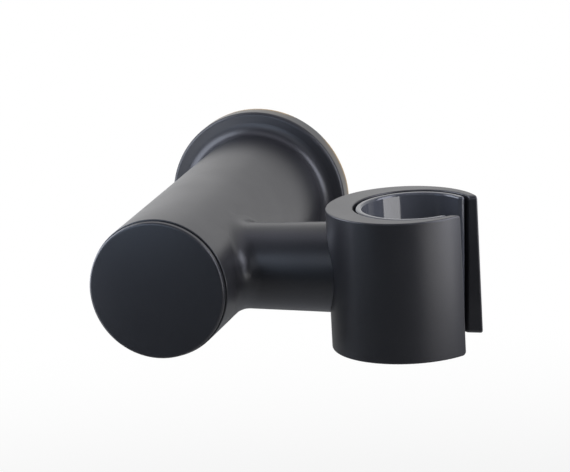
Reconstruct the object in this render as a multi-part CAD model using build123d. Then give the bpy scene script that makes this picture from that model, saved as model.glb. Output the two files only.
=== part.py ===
from build123d import *
import os

# Hand shower holder for a wall. Millimetres. The origin is the centre of the back face, on the wall.
# +X runs along the arm to the cup, +Y points into the wall and +Z is up.

# Wall flange
flange_width = 6.0
flange_thickness = 5.0
flange_front_edge = 0.9
flange_back_edge = 0.15
flange_blend = 3.2
flange_rim = 3.7

# Post
post_length = 94.7
post_radius_root = 18.1
post_radius_front = 17.8
post_wall = 3.3
post_end_edge = 0.25

# Web inside the post, which the bolt pulls on
web_from_wall = 16.0
web_thickness = 6.0
web_corner = 1.5
pocket_wall = 2.6

# Arm
arm_from_front = 23.5
arm_radius_post = 10.9
arm_radius_cup = 11.35
arm_blend = 5.2
saddle_gap = 0.03

# Sleeve, whose bore takes the standard cone of a hand shower
sleeve_radius_top = 12.9
sleeve_taper = 1.3
sleeve_wall_top = 1.7
sleeve_wall_bottom = 2.0
sleeve_slot_width = 18.0
sleeve_sink_top = 0.2
sleeve_sink_bottom = 0.4
sleeve_lip_edge = 0.7
sleeve_rim_edge = 0.6
sleeve_lug_gap = 0.25

# Cup round the sleeve
cup_offset = 57.3
cup_rise = 16.4
cup_drop = 19.3
cup_gap_top = 0.6
cup_gap_bottom = 0.3
cup_bore_shift = 2.75
cup_thin_wall = 1.35
cup_lip_setback = 0.2
cup_lip_corner = 1.0
cup_edge = 0.35
cup_bore_edge = 0.3

# End cap
cap_step = 0.35
cap_head_thickness = 1.45
cap_edge = 0.6
cap_seam = 0.55
cap_seam_depth = 1.05
cap_spigot_length = 8.0
cap_spigot_gap = 0.15
cap_spigot_edge = 0.6
cap_pocket_wall = 3.7
cap_pocket_depth = 5.5

# Rubber ring on the cap
ring_section = 1.78
ring_gap = 0.02
ring_groove_width = 2.4
ring_from_seat = 4.0

# Wall plate
plate_thickness = 3.0
plate_gap = 0.3
plate_edge = 0.5
plate_boss_radius = 6.0
plate_boss_height = 10.0
plate_boss_blend = 1.0
plate_hole_radius = 2.6
plate_hole_spacing = 22.0
plate_floor = 1.0
key_width = 4.0
key_depth = 2.0
key_gap = 0.2

# Metric screws: the bolt and the cup's screw have the same thread
thread_radius = 3.0
thread_gap = 0.05
bolt_hole_gap = 0.3
screw_tip_edge = 0.6
bolt_length = 20.0
bolt_head_radius = 5.0
bolt_head_height = 6.0
bolt_hex_width = 5.0
bolt_hex_depth = 3.0
bolt_head_edge = 0.5
cup_screw_length = 16.0
cup_screw_head_radius = 5.25
cup_screw_head_height = 3.3
cup_screw_hex_width = 4.0
cup_screw_hex_depth = 2.1
cup_screw_rim = 0.6
cup_screw_slope = 0.25
cup_screw_seat_wall = 2.2
cup_screw_recess_gap = 0.55
cup_screw_hole_spare = 2.0

# Washers
flat_washer_radius = 6.0
flat_washer_thickness = 1.6
lock_washer_radius = 5.9
lock_washer_thickness = 1.6
lock_washer_slit = 0.7
lock_washer_slant = 20.0
washer_bore_gap = 0.2

# Places that several pieces share
flange_radius = post_radius_root + flange_width
recess_rim = flange_radius - flange_rim
recess_depth = plate_thickness + plate_gap
plate_radius = recess_rim - plate_gap
post_bore_radius = post_radius_front - post_wall
pocket_radius = post_radius_root - pocket_wall
cap_radius = post_radius_front - cap_step
sleeve_radius_bottom = sleeve_radius_top - sleeve_taper
web_front = web_from_wall + web_thickness
arm_from_wall = post_length - arm_from_front
cup_bore_radius_top = sleeve_radius_top + sleeve_wall_top + cup_gap_top
cup_bore_radius_bottom = sleeve_radius_bottom + sleeve_wall_bottom + cup_gap_bottom
cup_radius = cup_bore_radius_top + cup_bore_shift + cup_thin_wall
cup_slot_width = sleeve_slot_width + 2 * cup_lip_setback
cup_axis = Vector(cup_offset, -arm_from_wall, 0)
bore_axis = cup_axis + Vector(cup_bore_shift, 0, 0)
saddle_x = cup_offset - cup_radius
screw_seat_x = saddle_x + cup_screw_seat_wall
screw_tip_x = screw_seat_x - cup_screw_length
recess_radius = cup_screw_head_radius + cup_screw_recess_gap
cut_margin = 5.0
post_plane = Plane((0, 0, 0), x_dir=(-1, 0, 0), z_dir=(0, 0, -1))


def turned(points, plane=post_plane, corners=()):
    """A solid turned from an outline in a plane's X (radius) and Y (axis), with some corners rounded."""
    outline = make_face(Polyline(*points, close=True))
    for corner, radius in corners:
        outline = fillet(outline.vertices().sort_by_distance(corner)[0], radius)
    return revolve(plane * outline, Axis(plane.origin, plane.y_dir))


def along_x(x, y=-arm_from_wall, z=0.0):
    """A plane at a point of the arm's axis, with its normal along +X."""
    return Plane((x, y, z), x_dir=(0, 1, 0), z_dir=(1, 0, 0))


def upright(axis):
    """A plane to turn a solid about a vertical axis: its X is the radius and its Y is the height."""
    return Plane(axis, x_dir=(1, 0, 0), z_dir=(0, -1, 0))


def cup_bore_radius(z):
    """The radius of the cup's tapered bore at a height."""
    share = (z + cup_drop) / (cup_rise + cup_drop)
    return cup_bore_radius_bottom + share * (cup_bore_radius_top - cup_bore_radius_bottom)


def slot_cutter(width):
    """The block that opens the cup or the sleeve on the side away from the arm."""
    length = cup_radius + cut_margin
    height = cup_rise + cup_drop + 2 * cut_margin
    low = bore_axis - Vector(0, 0, cup_drop + cut_margin)
    return Pos(*low) * Box(length, width, height, align=(Align.MIN, Align.CENTER, Align.MIN))


def make_body():
    """The casting: flange, hollow post and arm."""
    post = turned(
        [
            (0, 0),
            (flange_radius - flange_back_edge, 0),
            (flange_radius, -flange_back_edge),
            (flange_radius, -flange_thickness),
            (post_radius_root, -flange_thickness),
            (post_radius_front, -post_length),
            (0, -post_length),
        ],
        corners=[
            ((flange_radius, -flange_thickness, 0), flange_front_edge),
            ((post_radius_root, -flange_thickness, 0), flange_blend),
            ((post_radius_front, -post_length, 0), post_end_edge),
        ],
    )
    arm_flare = (arm_radius_cup - arm_radius_post) / (saddle_x - post_radius_front)
    arm = along_x(0) * Cone(
        arm_radius_post - arm_flare * post_radius_front,
        arm_radius_cup + arm_flare * cup_radius,
        cup_offset,
        align=(Align.CENTER, Align.CENTER, Align.MIN),
    )
    body = post + arm
    body = fillet(body.edges().filter_by(GeomType.BSPLINE), arm_blend)
    saddle = Pos(*cup_axis) * Cylinder(cup_radius + saddle_gap, 2 * cup_radius + 2 * cut_margin)
    core = turned(
        [
            (0, cut_margin),
            (recess_rim, cut_margin),
            (recess_rim, -recess_depth),
            (pocket_radius, -recess_depth),
            (pocket_radius, -web_from_wall),
            (thread_radius + bolt_hole_gap, -web_from_wall),
            (thread_radius + bolt_hole_gap, -web_front),
            (post_bore_radius, -web_front),
            (post_bore_radius, -post_length - cut_margin),
            (0, -post_length - cut_margin),
        ],
        corners=[
            ((pocket_radius, -web_from_wall, 0), web_corner),
            ((post_bore_radius, -web_front, 0), web_corner),
        ],
    )
    screw_hole = along_x(screw_tip_x - cup_screw_hole_spare) * Cylinder(
        thread_radius + thread_gap,
        cup_offset,
        align=(Align.CENTER, Align.CENTER, Align.MIN),
    )
    key_top = recess_rim + plate_edge
    key = Pos(0, 0, key_top) * Box(
        key_width,
        recess_depth + plate_edge,
        key_depth + plate_gap + plate_edge,
        align=(Align.CENTER, Align.MAX, Align.MAX),
    )
    return body - saddle - core - screw_hole + key


def make_wall_plate():
    """The plate behind the flange: two wall screw holes, a threaded boss and a notch for the body's key."""
    boss_top = -plate_thickness - plate_boss_height
    plate = turned(
        [
            (0, 0),
            (plate_radius, 0),
            (plate_radius, -plate_thickness),
            (plate_boss_radius, -plate_thickness),
            (plate_boss_radius, boss_top),
            (thread_radius + thread_gap, boss_top),
            (thread_radius + thread_gap, -plate_floor),
            (0, -plate_floor),
        ],
        corners=[
            ((plate_radius, -plate_thickness, 0), plate_edge),
            ((plate_boss_radius, -plate_thickness, 0), plate_boss_blend),
            ((plate_boss_radius, boss_top, 0), plate_edge),
        ],
    )
    hole_plane = Plane((0, 0, 0), x_dir=(1, 0, 0), z_dir=(0, -1, 0))
    hole = Cylinder(plate_hole_radius, 2 * (plate_thickness + cut_margin))
    holes = hole_plane * GridLocations(plate_hole_spacing, 0, 2, 1) * hole
    notch = Pos(0, 0, plate_radius + cut_margin) * Box(
        key_width + 2 * key_gap,
        2 * (plate_thickness + cut_margin),
        cut_margin + key_depth + key_gap,
        align=(Align.CENTER, Align.CENTER, Align.MAX),
    )
    return plate - holes - notch


def make_end_cap():
    """The disc on the post's end: head, recessed neck that shows as a dark seam, and grooved spigot."""
    seat = -post_length
    neck_front = seat - cap_seam
    head_front = neck_front - cap_head_thickness
    spigot = post_bore_radius - cap_spigot_gap
    groove_bottom = post_bore_radius - ring_section - 2 * ring_gap
    groove_front = seat + ring_from_seat - ring_groove_width / 2
    groove_back = seat + ring_from_seat + ring_groove_width / 2
    tail = seat + cap_spigot_length
    return turned(
        [
            (0, head_front),
            (cap_radius, head_front),
            (cap_radius, neck_front),
            (cap_radius - cap_seam_depth, neck_front),
            (cap_radius - cap_seam_depth, seat),
            (spigot, seat),
            (spigot, groove_front),
            (groove_bottom, groove_front),
            (groove_bottom, groove_back),
            (spigot, groove_back),
            (spigot, tail),
            (groove_bottom - cap_pocket_wall, tail),
            (groove_bottom - cap_pocket_wall, tail - cap_pocket_depth),
            (0, tail - cap_pocket_depth),
        ],
        corners=[
            ((cap_radius, head_front, 0), cap_edge),
            ((spigot, tail, 0), cap_spigot_edge),
        ],
    )


def make_cap_ring():
    """The rubber ring between the cap's groove and the post's bore."""
    centre = post_bore_radius - ring_gap - ring_section / 2
    section = Pos(centre, -post_length + ring_from_seat) * Circle(ring_section / 2)
    return revolve(section, Axis.Y)


def make_washer(seat, radius, thickness):
    """A plain ring on the bolt that lies against a face at a distance from the wall."""
    bore = thread_radius + washer_bore_gap
    front = -seat - thickness
    return turned([(bore, -seat), (radius, -seat), (radius, front), (bore, front)])


def make_lock_washer(seat):
    """A split ring, pressed flat, with a slanted slit."""
    ring = make_washer(seat, lock_washer_radius, lock_washer_thickness)
    slit = Box(lock_washer_slit, 2 * lock_washer_thickness + cut_margin, lock_washer_radius + cut_margin,
               align=(Align.CENTER, Align.CENTER, Align.MIN))
    middle = -seat - lock_washer_thickness / 2
    return ring - Pos(0, middle, 0) * Rot(0, 0, lock_washer_slant) * slit


def make_draw_bolt(seat):
    """Socket head bolt along the post's axis, with its head's bearing face at a distance from the wall."""
    head_front = -seat - bolt_head_height
    tip = -seat + bolt_length
    bolt = turned(
        [
            (0, head_front),
            (bolt_head_radius, head_front),
            (bolt_head_radius, -seat),
            (thread_radius, -seat),
            (thread_radius, tip - screw_tip_edge),
            (thread_radius - screw_tip_edge, tip),
            (0, tip),
        ],
        corners=[((bolt_head_radius, head_front, 0), bolt_head_edge)],
    )
    face = Plane((0, head_front, 0), x_dir=(1, 0, 0), z_dir=(0, 1, 0))
    hexagon = face * RegularPolygon(bolt_hex_width / 2, 6, major_radius=False)
    socket = extrude(hexagon, bolt_hex_depth)
    return bolt - socket


def make_cup_screw():
    """Button head screw along the arm's axis, from inside the cup into the arm."""
    rim = screw_seat_x + cup_screw_rim
    crown = screw_seat_x + cup_screw_head_height
    shank = Polyline(
        (crown, 0),
        (screw_tip_x, 0),
        (screw_tip_x, thread_radius - screw_tip_edge),
        (screw_tip_x + screw_tip_edge, thread_radius),
        (screw_seat_x, thread_radius),
        (screw_seat_x, cup_screw_head_radius),
        (rim, cup_screw_head_radius),
    )
    dome = TangentArc(
        (rim, cup_screw_head_radius),
        (crown, cup_screw_hex_width),
        tangent=(1, -cup_screw_slope),
    )
    top = Line((crown, cup_screw_hex_width), (crown, 0))
    section = Pos(0, -arm_from_wall) * make_face(Curve() + [shank, dome, top])
    screw = revolve(section, Axis((0, -arm_from_wall, 0), (1, 0, 0)))
    hexagon = along_x(crown) * RegularPolygon(cup_screw_hex_width / 2, 6, major_radius=False)
    socket = extrude(hexagon, -cup_screw_hex_depth)
    return screw - socket


def make_cup():
    """The C-shaped shell, with a tapered off-centre bore and a recess for its screw."""
    blank = Pos(*(cup_axis - Vector(0, 0, cup_drop))) * Cylinder(
        cup_radius, cup_rise + cup_drop, align=(Align.CENTER, Align.CENTER, Align.MIN)
    )
    low = -cup_drop - cut_margin
    high = cup_rise + cut_margin
    bore = turned(
        [(0, low), (cup_bore_radius(low), low), (cup_bore_radius(high), high), (0, high)],
        plane=upright(bore_axis),
    )
    cup = blank - bore - slot_cutter(cup_slot_width)
    cup = fillet(cup.edges().filter_by(Axis.X), cup_lip_corner)
    outside = cup.faces().sort_by_distance(cup_axis - Vector(cup_radius, 0, 0))[0]
    cup = fillet(outside.edges(), cup_edge)
    inside = cup.faces().sort_by_distance(bore_axis - Vector(cup_bore_radius(0), 0, 0))[0]
    cup = fillet(inside.edges(), cup_bore_edge)
    hole = along_x(saddle_x - cut_margin) * Cylinder(
        thread_radius + bolt_hole_gap, cup_radius, align=(Align.CENTER, Align.CENTER, Align.MIN)
    )
    recess = along_x(screw_seat_x) * Cylinder(
        recess_radius, cup_radius, align=(Align.CENTER, Align.CENTER, Align.MIN)
    )
    return cup - hole - recess


def make_sleeve():
    """The tapered liner in the cup's bore, with a lug that sits in the screw's recess."""
    top = cup_rise - sleeve_sink_top
    bottom = -cup_drop + sleeve_sink_bottom
    liner = turned(
        [
            (sleeve_radius_bottom, bottom),
            (sleeve_radius_bottom + sleeve_wall_bottom, bottom),
            (sleeve_radius_top + sleeve_wall_top, top),
            (sleeve_radius_top, top),
        ],
        plane=upright(bore_axis),
    )
    lug_end = screw_seat_x + cup_screw_head_height + sleeve_lug_gap
    lug_root = bore_axis.X - (sleeve_radius_top + sleeve_radius_bottom) / 2
    lug = along_x(lug_end) * Cylinder(
        recess_radius - sleeve_lug_gap, lug_root - lug_end, align=(Align.CENTER, Align.CENTER, Align.MIN)
    )
    bore = turned(
        [(0, bottom), (sleeve_radius_bottom, bottom), (sleeve_radius_top, top), (0, top)],
        plane=upright(bore_axis),
    )
    sleeve = liner - slot_cutter(sleeve_slot_width)
    lips = sleeve.edges().filter_by(lambda edge: edge.bounding_box().size.Z > (top - bottom) / 2)
    sleeve = fillet(lips, sleeve_lip_edge)
    rim = sleeve.faces().sort_by(Axis.Z)[-1]
    sleeve = fillet(rim.edges(), sleeve_rim_edge)
    return sleeve + (lug - bore)


lock_seat = web_front + flat_washer_thickness
pieces = {
    "holder_body": make_body(),
    "wall_plate": make_wall_plate(),
    "end_cap": make_end_cap(),
    "cap_ring": make_cap_ring(),
    "flat_washer": make_washer(web_front, flat_washer_radius, flat_washer_thickness),
    "lock_washer": make_lock_washer(lock_seat),
    "draw_bolt": make_draw_bolt(lock_seat + lock_washer_thickness),
    "cup": make_cup(),
    "cup_screw": make_cup_screw(),
    "sleeve": make_sleeve(),
}

os.makedirs("parts", exist_ok=True)
for name, piece in pieces.items():
    export_step(piece, f"parts/{name}.step")
    print(name, len(piece.solids()), "solid", round(piece.volume), "mm3")
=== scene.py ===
import bpy
import math
from mathutils import Matrix, Vector


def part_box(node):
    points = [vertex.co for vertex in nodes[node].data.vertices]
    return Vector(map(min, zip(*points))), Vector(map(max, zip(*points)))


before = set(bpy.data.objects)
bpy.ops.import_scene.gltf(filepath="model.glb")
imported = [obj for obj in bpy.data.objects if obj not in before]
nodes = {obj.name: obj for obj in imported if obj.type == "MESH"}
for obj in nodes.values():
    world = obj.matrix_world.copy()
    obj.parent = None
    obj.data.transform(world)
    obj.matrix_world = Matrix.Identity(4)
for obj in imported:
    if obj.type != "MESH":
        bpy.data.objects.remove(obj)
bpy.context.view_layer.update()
print("frame loaded:", len(nodes), "CAD nodes")

bpy.context.scene.view_settings.view_transform = "Standard"


# Camera at the photo's viewing angle

cameraSet = {
    "place": (0.27687, -0.92325, 0.23716),  # metres
    "aim": (0.02020, -0.05000, 0.00208),
    "roll": math.radians(3.2455),  # the photo is not quite level
    "lens": 230.88,  # millimetres, as the sensor
    "sensor": 36,
    "clipNear": 0.01,
    "clipFar": 50,
}


def makeCamera(values):
    data = bpy.data.cameras.new("photoCamera")
    data.sensor_width = values["sensor"]
    data.lens = values["lens"]
    data.clip_start = values["clipNear"]
    data.clip_end = values["clipFar"]
    camera = bpy.data.objects.new("photoCamera", data)
    bpy.context.scene.collection.objects.link(camera)
    place = Vector(values["place"])
    look = Vector(values["aim"]) - place
    turn = look.to_track_quat("-Z", "Y").to_matrix() @ Matrix.Rotation(-values["roll"], 3, "Z")
    camera.matrix_world = Matrix.Translation(place) @ turn.to_4x4()
    bpy.context.scene.camera = camera


makeCamera(cameraSet)
print("camera placed")


# Node helpers: what goes into a node is a plain value or another node's socket

def feed(tree, value, socket):
    if isinstance(value, bpy.types.NodeSocket):
        tree.links.new(value, socket)
    else:
        socket.default_value = value


def mathNode(tree, operation, first, second=0.0):
    node = tree.nodes.new("ShaderNodeMath")
    node.operation = operation
    feed(tree, first, node.inputs[0])
    feed(tree, second, node.inputs[1])
    return node.outputs["Value"]


def rangeNode(tree, value, low, high, toLow=0.0, toHigh=1.0, easing="LINEAR"):
    node = tree.nodes.new("ShaderNodeMapRange")
    node.interpolation_type = easing
    feed(tree, value, node.inputs["Value"])
    feed(tree, low, node.inputs["From Min"])
    feed(tree, high, node.inputs["From Max"])
    feed(tree, toLow, node.inputs["To Min"])
    feed(tree, toHigh, node.inputs["To Max"])
    return node.outputs["Result"]


def noiseNode(tree, vector, scale, detail):
    node = tree.nodes.new("ShaderNodeTexNoise")
    node.inputs["Detail"].default_value = detail
    feed(tree, vector, node.inputs["Vector"])
    feed(tree, scale, node.inputs["Scale"])
    return node.outputs["Fac"]


def lineNode(tree, place, detail):
    node = tree.nodes.new("ShaderNodeTexNoise")
    node.noise_dimensions = "1D"
    node.inputs["Scale"].default_value = 1.0
    node.inputs["Detail"].default_value = detail
    feed(tree, place, node.inputs["W"])
    return node.outputs["Fac"]


def mixColor(tree, share, first, second):
    node = tree.nodes.new("ShaderNodeMix")
    node.data_type = "RGBA"
    feed(tree, share, node.inputs["Factor"])
    feed(tree, first, node.inputs["A"])
    feed(tree, second, node.inputs["B"])
    return node.outputs["Result"]


def blendNode(tree, first, firstShare, second):
    firstPart = mathNode(tree, "MULTIPLY", first, firstShare)
    secondPart = mathNode(tree, "MULTIPLY", second, 1 - firstShare)
    return mathNode(tree, "ADD", firstPart, secondPart)


def splitNode(tree, vector):
    node = tree.nodes.new("ShaderNodeSeparateXYZ")
    feed(tree, vector, node.inputs["Vector"])
    return node.outputs


def radiusNode(tree, axes):  # distance from the Y axis
    acrossSquare = mathNode(tree, "POWER", axes["X"], 2.0)
    upSquare = mathNode(tree, "POWER", axes["Z"], 2.0)
    return mathNode(tree, "SQRT", mathNode(tree, "ADD", acrossSquare, upSquare))


def newFinish(name):
    finish = bpy.data.materials.new(name)
    finish.use_nodes = True
    tree = finish.node_tree
    coords = tree.nodes.new("ShaderNodeTexCoord")
    return finish, tree, tree.nodes["Principled BSDF"], coords.outputs["Object"]


# Studio: white surround, pale floor, soft boxes

studioSet = {
    "white": (1, 1, 1, 1),
    "dim": (0.012, 0.015, 0.022, 1),  # the dark room in front
    "frontY": 0.20,  # direction at which the surround is dim
    "backY": 0.70,  # direction at which it is white
}


def makeWorld(values):
    world = bpy.data.worlds.new("studio")
    bpy.context.scene.world = world
    world.use_nodes = True
    tree = world.node_tree
    coords = tree.nodes.new("ShaderNodeTexCoord")
    path = tree.nodes.new("ShaderNodeLightPath")
    toBack = splitNode(tree, coords.outputs["Generated"])["Y"]
    behind = rangeNode(tree, toBack, values["frontY"], values["backY"], easing="SMOOTHSTEP")
    white = mathNode(tree, "MAXIMUM", behind, path.outputs["Is Camera Ray"])  # camera rays always see white
    color = mixColor(tree, white, values["dim"], values["white"])
    feed(tree, color, tree.nodes["Background"].inputs["Color"])


floorSet = {
    "height": -0.25,  # the holder hangs on a wall, so the floor lies below it
    "size": 1.5,
    "paint": (0.86, 0.86, 0.85, 1),
    "rough": 0.9,
    "shadowReach": 0.75,  # out here the floor melts into the white background
    "glow": 0.5,  # and it is pale under the holder as well
}


def makeFloor(values):
    bpy.ops.object.select_all(action="DESELECT")
    bpy.ops.mesh.primitive_plane_add(size=values["size"], location=(0, 0, values["height"]))
    floor = bpy.context.object
    floor.name = "paleFloor"
    paint, tree, shader, place = newFinish("palePaint")
    shader.inputs["Base Color"].default_value = values["paint"]
    shader.inputs["Roughness"].default_value = values["rough"]
    reach = tree.nodes.new("ShaderNodeVectorMath")
    reach.operation = "LENGTH"
    feed(tree, place, reach.inputs["Vector"])
    fade = rangeNode(tree, reach.outputs["Value"], 0.0, values["shadowReach"], values["glow"],
                     easing="SMOOTHSTEP")
    path = tree.nodes.new("ShaderNodeLightPath")
    glow = tree.nodes.new("ShaderNodeEmission")
    blend = tree.nodes.new("ShaderNodeMixShader")
    feed(tree, mathNode(tree, "MULTIPLY", fade, path.outputs["Is Camera Ray"]), blend.inputs["Fac"])
    feed(tree, shader.outputs["BSDF"], blend.inputs[1])
    feed(tree, glow.outputs["Emission"], blend.inputs[2])
    feed(tree, blend.outputs["Shader"], tree.nodes["Material Output"].inputs["Surface"])
    floor.data.materials.append(paint)


lampSet = [
    {"name": "leftBox", "place": (-0.16, -0.083, 0.112), "face": (1, 0, 0), "size": (0.166, 0.29),
     "radiance": 5.4, "tint": (0.80, 0.85, 1)},
    {"name": "rightHighBox", "place": (0.20, -0.08, 0.1025), "face": (-1, 0, 0), "size": (0.12, 0.215),
     "radiance": 6.0, "tint": (0.84, 0.86, 1)},
    {"name": "rightLowBox", "place": (0.21, -0.17, -0.022), "face": (-1, 0, 0), "size": (0.19, 0.028),
     "radiance": 5.2, "tint": (1, 0.99, 0.99)},
    {"name": "nearBox", "place": (-0.035, -0.16, 0.042), "face": (0, 1, 0), "size": (0.05, 0.075),
     "radiance": 3.1, "tint": (0.62, 0.76, 1)},
    {"name": "lowBox", "place": (-0.046, -0.104, -0.008), "face": (0, 1, 0), "size": (0.044, 0.044),
     "radiance": 2.9, "tint": (0.86, 0.90, 1)},
    {"name": "highBox", "place": (0.05, -0.35, 0.20), "face": (0, 1, 0), "size": (0.36, 0.22),
     "radiance": 0.9, "tint": (0.84, 0.89, 1)},
    {"name": "topBox", "place": (0.03, -0.02, 0.26), "face": (0, 0, -1), "size": (0.30, 0.16),
     "radiance": 0.9, "tint": (0.86, 0.86, 1)},
    {"name": "backBox", "place": (-0.21, 0.40, 0.15), "face": (0, -1, 0), "size": (0.34, 0.24),
     "radiance": 0.2, "tint": (1, 0.98, 0.96)},
]


def makeLamp(values):
    data = bpy.data.lights.new(values["name"], "AREA")
    data.shape = "RECTANGLE"
    data.size, data.size_y = values["size"]
    data.energy = values["radiance"] * math.pi * data.size * data.size_y  # a larger box is as bright
    data.color = values["tint"]
    lamp = bpy.data.objects.new(values["name"], data)
    bpy.context.scene.collection.objects.link(lamp)
    turn = Vector(values["face"]).to_track_quat("-Z", "Y").to_matrix()
    lamp.matrix_world = Matrix.Translation(values["place"]) @ turn.to_4x4()
    lamp.visible_camera = False


makeWorld(studioSet)
makeFloor(floorSet)
for lampRow in lampSet:
    makeLamp(lampRow)
print("studio ready:", len(lampSet), "soft boxes")


# Shared finish effects as node groups

noiseLow = 0.36  # noise seldom leaves this span
noiseHigh = 0.64
noiseMiddle = (noiseLow + noiseHigh) / 2
toneSockets = {
    "Dark": "NodeSocketColor",
    "Light": "NodeSocketColor",
    "Rough Low": "NodeSocketFloat",
    "Rough High": "NodeSocketFloat",
}
finishSockets = {
    "Color": "NodeSocketColor",
    "Rough": "NodeSocketFloat",
    "Height": "NodeSocketFloat",
}


def newGroup(name, scales):
    group = bpy.data.node_groups.new(name, "ShaderNodeTree")
    group.interface.new_socket("Vector", in_out="INPUT", socket_type="NodeSocketVector")
    for label, value in scales.items():
        socket = group.interface.new_socket(label, in_out="INPUT", socket_type="NodeSocketFloat")
        socket.default_value = value
    for label, kind in toneSockets.items():
        group.interface.new_socket(label, in_out="INPUT", socket_type=kind)
    for label, kind in finishSockets.items():
        group.interface.new_socket(label, in_out="OUTPUT", socket_type=kind)
    return group, group.nodes.new("NodeGroupInput").outputs, group.nodes.new("NodeGroupOutput").inputs


def endGroup(group, start, end, shade, height):
    spread = rangeNode(group, shade, noiseLow, noiseHigh)
    rough = rangeNode(group, spread, 0.0, 1.0, start["Rough High"], start["Rough Low"])  # dark is rougher
    feed(group, mixColor(group, spread, start["Dark"], start["Light"]), end["Color"])
    feed(group, rough, end["Rough"])
    feed(group, height, end["Height"])
    return group


grainSet = {
    "scales": {"Speck Scale": 4200.0, "Peel Scale": 900.0, "Cloud Scale": 45.0},  # per metre
    "speckDetail": 2,
    "peelDetail": 1,
    "cloudDetail": 3,
    "speckInShade": 0.4,  # the rest is cloud
    "speckInHeight": 0.45,  # the rest is peel
}


def makeGrainGroup(values):
    group, start, end = newGroup("sprayedGrain", values["scales"])
    speck = noiseNode(group, start["Vector"], start["Speck Scale"], values["speckDetail"])
    peel = noiseNode(group, start["Vector"], start["Peel Scale"], values["peelDetail"])
    cloud = noiseNode(group, start["Vector"], start["Cloud Scale"], values["cloudDetail"])
    shade = blendNode(group, speck, values["speckInShade"], cloud)
    height = blendNode(group, speck, values["speckInHeight"], peel)
    return endGroup(group, start, end, shade, height)


turnedSet = {
    "scales": {"Line Scale": 7000.0, "Cloud Scale": 160.0},
    "lineDetail": 3,
    "cloudDetail": 3,
    "lineInShade": 0.55,  # the rest is cloud
}


def makeTurnedGroup(values):
    group, start, end = newGroup("turnedLines", values["scales"])
    axes = splitNode(group, start["Vector"])
    along = mathNode(group, "ADD", radiusNode(group, axes), axes["Y"])  # lathe lines run round the axis
    linePlace = mathNode(group, "MULTIPLY", along, start["Line Scale"])
    lines = lineNode(group, linePlace, values["lineDetail"])
    cloud = noiseNode(group, start["Vector"], start["Cloud Scale"], values["cloudDetail"])
    shade = blendNode(group, lines, values["lineInShade"], cloud)
    return endGroup(group, start, end, shade, lines)


grainGroup = makeGrainGroup(grainSet)
turnedGroup = makeTurnedGroup(turnedSet)
print("finish groups ready")


# Finishes

def placeGroup(tree, group, vector, tones):
    node = tree.nodes.new("ShaderNodeGroup")
    node.node_tree = group
    feed(tree, vector, node.inputs["Vector"])
    for label, value in tones.items():
        node.inputs[label].default_value = value
    return node.outputs


def addBump(tree, shader, height, values):
    bump = tree.nodes.new("ShaderNodeBump")
    bump.inputs["Strength"].default_value = values["bump"]
    bump.inputs["Distance"].default_value = values["bumpDistance"]
    feed(tree, height, bump.inputs["Height"])
    feed(tree, bump.outputs["Normal"], shader.inputs["Normal"])


def dress(tree, shader, group, vector, values):
    effect = placeGroup(tree, group, vector, values["tones"])
    feed(tree, effect["Color"], shader.inputs["Base Color"])
    feed(tree, effect["Rough"], shader.inputs["Roughness"])
    addBump(tree, shader, effect["Height"], values)


def makeGrained(name, values):
    finish, tree, shader, place = newFinish(name)
    dress(tree, shader, grainGroup, place, values)
    return finish


coatSet = {
    "tones": {
        "Dark": (0.017, 0.017, 0.019, 1),
        "Light": (0.026, 0.026, 0.028, 1),
        "Rough Low": 0.32,
        "Rough High": 0.38,
    },
    "bump": 0.10,
    "bumpDistance": 0.00004,
}
coat = makeGrained("mattBlackCoat", coatSet)

linerSet = {
    "tones": {
        "Dark": (0.052, 0.055, 0.062, 1),
        "Light": (0.062, 0.065, 0.073, 1),
        "Rough Low": 0.06,
        "Rough High": 0.09,
        "Peel Scale": 220.0,
    },
    "bump": 0.02,
    "bumpDistance": 0.00003,
}
liner = makeGrained("polishedLiner", linerSet)

rubberSet = {
    "tones": {
        "Dark": (0.012, 0.012, 0.012, 1),
        "Light": (0.026, 0.026, 0.025, 1),
        "Rough Low": 0.62,
        "Rough High": 0.80,
    },
    "bump": 0.15,
    "bumpDistance": 0.00004,
}
rubber = makeGrained("ringRubber", rubberSet)

bodySet = {
    "brass": {
        "Dark": (0.34, 0.22, 0.08, 1),
        "Light": (0.52, 0.36, 0.15, 1),
        "Rough Low": 0.28,
        "Rough High": 0.44,
    },
    "bareFrom": -0.0011,  # the coat stops just short of the back edge
    "bareTo": -0.0005,
    "thinFrom": -0.0044,  # and thins out over the flange's rim
    "thinTo": -0.0012,
    "thinShare": 0.15,
    "ragged": 0.0008,
    "patchScale": 38.0,  # it holds in some stretches of the rim
    "patchDetail": 1,
    "patchFrom": 0.36,
    "patchTo": 0.48,
    "keptToward": (0.588, 0, 0.809),  # the longest lies at the upper right
    "keptFrom": 0.955,
    "keptTo": 0.988,
    "rimRadius": 0.0236,
    "rimBlend": 0.0003,
    "recessRadius": 0.0208,  # the cavity behind the flange is left bare
    "recessDepth": -0.0036,
    "pocketRadius": 0.0165,
    "pocketDepth": -0.0170,
}


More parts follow.
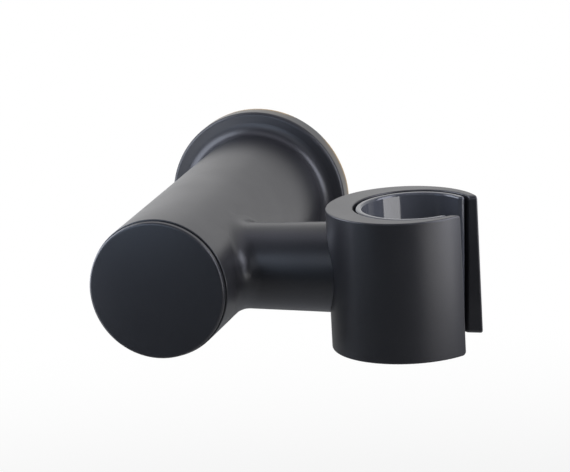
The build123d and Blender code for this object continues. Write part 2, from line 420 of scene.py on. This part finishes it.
def rimMask(tree, place, radius, depth, values):
    bare = rangeNode(tree, depth, values["bareFrom"], values["bareTo"])
    thin = rangeNode(tree, depth, values["thinFrom"], values["thinTo"], 0.0, values["thinShare"])
    patchNoise = noiseNode(tree, place, values["patchScale"], values["patchDetail"])
    patch = rangeNode(tree, patchNoise, values["patchFrom"], values["patchTo"])
    toward = tree.nodes.new("ShaderNodeVectorMath")
    toward.operation = "DOT_PRODUCT"
    feed(tree, place, toward.inputs[0])
    feed(tree, values["keptToward"], toward.inputs[1])
    aligned = mathNode(tree, "DIVIDE", toward.outputs["Value"], radius)
    lost = rangeNode(tree, aligned, values["keptFrom"], values["keptTo"], 1.0, 0.0)
    bareShare = mathNode(tree, "MULTIPLY", patch, lost)
    worn = mathNode(tree, "MULTIPLY", mathNode(tree, "MAXIMUM", bare, thin), bareShare)
    onRim = rangeNode(tree, radius, values["rimRadius"], values["rimRadius"] + values["rimBlend"])
    return mathNode(tree, "MULTIPLY", worn, onRim)


def insideMask(tree, radius, limit, depth, floorDepth):
    near = mathNode(tree, "LESS_THAN", radius, limit)
    return mathNode(tree, "MULTIPLY", near, mathNode(tree, "GREATER_THAN", depth, floorDepth))


def makeBodyCoat(values, coatValues):
    finish, tree, shader, place = newFinish("coatOnBrass")
    coatEffect = placeGroup(tree, grainGroup, place, coatValues["tones"])
    brassEffect = placeGroup(tree, turnedGroup, place, values["brass"])
    axes = splitNode(tree, place)
    radius = radiusNode(tree, axes)
    grain = mathNode(tree, "SUBTRACT", coatEffect["Height"], noiseMiddle)
    depth = mathNode(tree, "ADD", axes["Y"], mathNode(tree, "MULTIPLY", grain, values["ragged"]))
    rim = rimMask(tree, place, radius, depth, values)
    recess = insideMask(tree, radius, values["recessRadius"], axes["Y"], values["recessDepth"])
    pocket = insideMask(tree, radius, values["pocketRadius"], axes["Y"], values["pocketDepth"])
    metal = mathNode(tree, "MAXIMUM", rim, mathNode(tree, "MAXIMUM", recess, pocket))
    color = mixColor(tree, metal, coatEffect["Color"], brassEffect["Color"])
    rough = rangeNode(tree, metal, 0.0, 1.0, coatEffect["Rough"], brassEffect["Rough"])
    feed(tree, color, shader.inputs["Base Color"])
    feed(tree, rough, shader.inputs["Roughness"])
    feed(tree, metal, shader.inputs["Metallic"])
    addBump(tree, shader, coatEffect["Height"], coatValues)
    return finish


bodyCoat = makeBodyCoat(bodySet, coatSet)

steelSet = {
    "tones": {
        "Dark": (0.44, 0.43, 0.41, 1),
        "Light": (0.66, 0.65, 0.63, 1),
        "Rough Low": 0.20,
        "Rough High": 0.34,
    },
    "bump": 0.25,
    "bumpDistance": 0.00002,
}


def makeSteel(values, name, axisPlace=(0, 0, 0), axisTurn=0.0):
    finish, tree, shader, place = newFinish(name)
    centre = tree.nodes.new("ShaderNodeMapping")
    centre.vector_type = "TEXTURE"
    centre.inputs["Location"].default_value = axisPlace
    centre.inputs["Rotation"].default_value = (0, 0, axisTurn)
    feed(tree, place, centre.inputs["Vector"])
    dress(tree, shader, turnedGroup, centre.outputs["Vector"], values)
    shader.inputs["Metallic"].default_value = 1.0
    return finish


screwLow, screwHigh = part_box("cup_screw")
screwAxis = (0, (screwLow.y + screwHigh.y) / 2, (screwLow.z + screwHigh.z) / 2)
postSteel = makeSteel(steelSet, "turnedSteelPost")
armSteel = makeSteel(steelSet, "turnedSteelArm", screwAxis, math.radians(90))  # this screw lies along X

plateSet = {
    "tones": {
        "Speck Scale": 2600.0,
        "Peel Scale": 700.0,
        "Cloud Scale": 120.0,
        "Dark": (0.40, 0.40, 0.39, 1),
        "Light": (0.58, 0.58, 0.57, 1),
        "Rough Low": 0.30,
        "Rough High": 0.46,
    },
    "streak": (0.06, 1.0, 1.0),  # rolled sheet: the grain runs along X
    "bump": 0.20,
    "bumpDistance": 0.00003,
}


def makePlate(values):
    finish, tree, shader, place = newFinish("rolledPlate")
    stretch = tree.nodes.new("ShaderNodeMapping")
    stretch.inputs["Scale"].default_value = values["streak"]
    feed(tree, place, stretch.inputs["Vector"])
    dress(tree, shader, grainGroup, stretch.outputs["Vector"], values)
    shader.inputs["Metallic"].default_value = 1.0
    return finish


plate = makePlate(plateSet)

finishOf = {
    "holder_body": bodyCoat,
    "end_cap": coat,
    "cup": coat,
    "sleeve": liner,
    "cap_ring": rubber,
    "draw_bolt": postSteel,
    "lock_washer": postSteel,
    "flat_washer": postSteel,
    "cup_screw": armSteel,
    "wall_plate": plate,
}
for name, finish in finishOf.items():
    nodes[name].data.materials.clear()
    nodes[name].data.materials.append(finish)
print("finishes set on", len(finishOf), "nodes")
